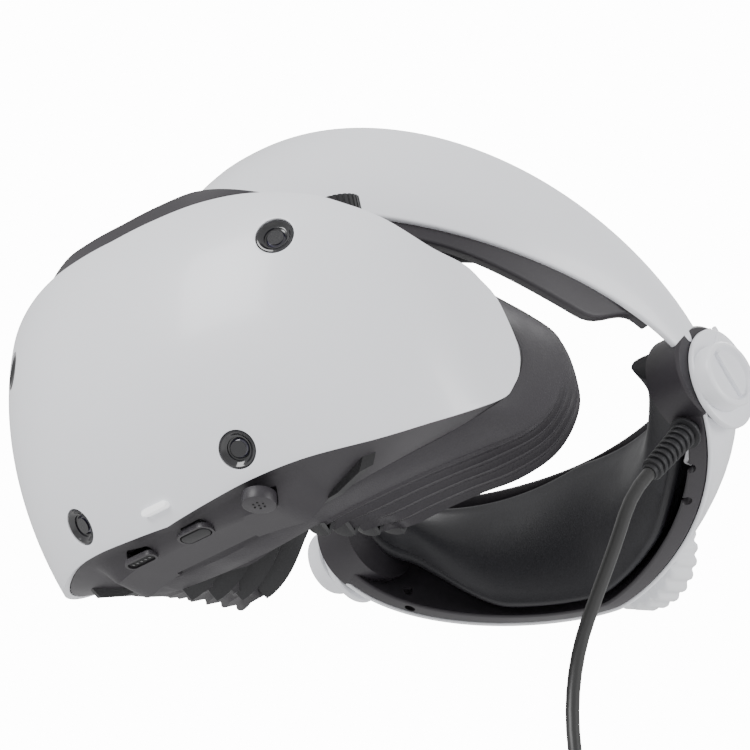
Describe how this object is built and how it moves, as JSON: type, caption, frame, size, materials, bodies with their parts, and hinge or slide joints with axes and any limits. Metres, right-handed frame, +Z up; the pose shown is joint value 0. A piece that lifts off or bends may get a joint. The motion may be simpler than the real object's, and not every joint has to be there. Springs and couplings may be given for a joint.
{
  "type": "virtual reality headset",
  "caption": "Halo-band headset with a bowed visor, tracking cameras, rubber light shield, padded rear cradle with tightening dial, and a cord in a tied coil.",
  "frame": {"origin": "middle of the wearer's head, between the forehead pad and the rear pad", "axes": "+X to the wearer's left, +Y backwards, +Z up"},
  "size_m": [0.212, 0.2746, 0.3886],
  "materials": {
    "white_plastic": "fine satin, slightly pearly",
    "pale_dial": "pale translucent satin",
    "black_plastic": "fine satin",
    "black_gloss": "gloss",
    "soft_pad": "soft moulded foam skin",
    "black_rubber": "matte, fine grain",
    "cord_sheath": "satin",
    "lens_glass": "coated glass",
    "light_bar": "diffusing",
    "circuit_board": "solder mask",
    "steel": "brushed",
    "aluminium": "satin"
  },
  "bodies": {
    "band": {"halo_shell": "white_plastic", "halo_frame": "black_plastic", "forehead_pad": "soft_pad", "rail_left": "steel", "rail_right": "steel", "slide_arms": "black_plastic", "haptic_motor": "steel"},
    "scope": {"front_shell": "white_plastic", "visor_housing": "black_plastic", "top_cover": "black_plastic", "bulkhead": "black_plastic", "camera_bezels": "black_gloss", "camera_lenses": "lens_glass", "camera_modules": "black_plastic", "light_bar": "light_bar", "microphone_grille": "black_plastic", "main_board": "circuit_board", "board_screws": "steel", "heat_sink": "aluminium", "fan_frame": "black_plastic", "guide_rods": "steel", "rod_brackets": "black_plastic", "arm_guides": "black_plastic", "light_shield": "black_rubber", "nose_bellows": "black_rubber"},
    "fan": {"fan_rotor": "black_plastic"},
    "left_optics": {"lens_barrel_left": "black_plastic", "eye_lens_left": "lens_glass", "display_left": "black_gloss", "eye_ring_left": "black_plastic", "ipd_rack_left": "black_plastic"},
    "right_optics": {"lens_barrel_right": "black_plastic", "eye_lens_right": "lens_glass", "display_right": "black_gloss", "eye_ring_right": "black_plastic", "ipd_rack_right": "black_plastic"},
    "lens_wheel": {"lens_wheel": "black_plastic"},
    "power_button": {"power_button": "black_plastic"},
    "function_button": {"function_button": "black_plastic"},
    "scope_release": {"scope_release": "black_plastic"},
    "rear": {"rear_shell": "white_plastic", "rear_frame": "black_plastic", "rear_pad": "soft_pad", "side_cap_left": "white_plastic", "side_cap_right": "white_plastic", "rack_upper": "black_plastic", "rack_lower": "black_plastic", "headphone_socket": "steel", "strain_relief": "black_rubber", "cord": "cord_sheath", "cord_tail": "cord_sheath", "cord_coil": "cord_sheath", "coil_tie": "cord_sheath", "plug_body": "black_plastic", "plug_contact": "steel"},
    "dial": {"rear_dial": "pale_dial", "dial_shaft": "steel", "dial_pinion": "black_plastic", "release_spring": "steel"},
    "dial_release": {"release_button": "pale_dial"}
  },
  "joints": [
    {"name": "scope_slide", "type": "slide", "parent": "band", "child": "scope", "axis": [0, -1, 0], "range_m": [0, 0.02]},
    {"name": "fan_spin", "type": "hinge", "parent": "scope", "child": "fan", "pos_m": [0, -0.13, -0.007], "axis": [0, 1, 0], "continuous": true},
    {"name": "left_lens_slide", "type": "slide", "parent": "scope", "child": "left_optics", "axis": [1, 0, 0], "range_m": [-0.004, 0.004]},
    {"name": "right_lens_slide", "type": "slide", "parent": "scope", "child": "right_optics", "axis": [-1, 0, 0], "range_m": [-0.004, 0.004]},
    {"name": "lens_wheel_turn", "type": "hinge", "parent": "scope", "child": "lens_wheel", "pos_m": [0.072, -0.099, 0.049], "axis": [0, 0, 1], "range_deg": [-60, 60]},
    {"name": "power_press", "type": "slide", "parent": "scope", "child": "power_button", "axis": [0, 0.3322, 0.9432], "range_m": [0, 0.001], "stiffness_N_per_m": 600, "springref_m": -0.001},
    {"name": "function_press", "type": "slide", "parent": "scope", "child": "function_button", "axis": [0, 0.3322, 0.9432], "range_m": [0, 0.001], "stiffness_N_per_m": 600, "springref_m": -0.001},
    {"name": "scope_release_press", "type": "slide", "parent": "scope", "child": "scope_release", "axis": [0, 0, -1], "range_m": [0, 0.0015], "stiffness_N_per_m": 600, "springref_m": -0.001},
    {"name": "band_extend", "type": "slide", "parent": "band", "child": "rear", "axis": [0, 0.9135, -0.4067], "range_m": [0, 0.025]},
    {"name": "dial_turn", "type": "hinge", "parent": "rear", "child": "dial", "pos_m": [0, 0.109, -0.044], "axis": [0, 1, 0], "range_deg": [-240, 0]},
    {"name": "dial_release_press", "type": "slide", "parent": "dial", "child": "dial_release", "axis": [0, -1, 0], "range_m": [0, 0.002], "stiffness_N_per_m": 500, "springref_m": -0.001}
  ],
  "couplings": [
    {"joint": "right_lens_slide", "follows": "left_lens_slide", "ratio": 1},
    {"joint": "lens_wheel_turn", "follows": "left_lens_slide", "rad_per_m": 250},
    {"joint": "dial_turn", "follows": "band_extend", "rad_per_m": -166.67}
  ]
}
